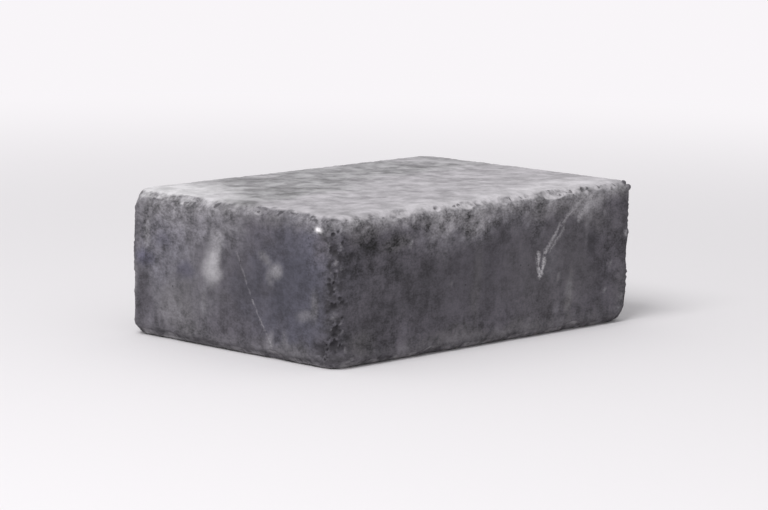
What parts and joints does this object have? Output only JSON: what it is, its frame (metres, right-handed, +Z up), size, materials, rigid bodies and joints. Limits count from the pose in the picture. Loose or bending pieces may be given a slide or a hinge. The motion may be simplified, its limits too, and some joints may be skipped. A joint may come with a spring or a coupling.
{
  "type": "tumbled wall block",
  "caption": "Solid pressed concrete wall block with flat beds and drum-tumbled, rounded and chipped arrises, for dry or glued garden walls.",
  "frame": {"origin": "middle of the bottom bed, on the level that the block lies on", "axes": "+X along the block's length, +Y from its front face to its back, +Z up through its beds"},
  "size_m": [0.3, 0.2, 0.1],
  "materials": {
    "concrete": "matt tumbled anthracite concrete with a pale cement bloom"
  },
  "bodies": {
    "root": {"wall_block": "concrete"}
  },
  "joints": []
}
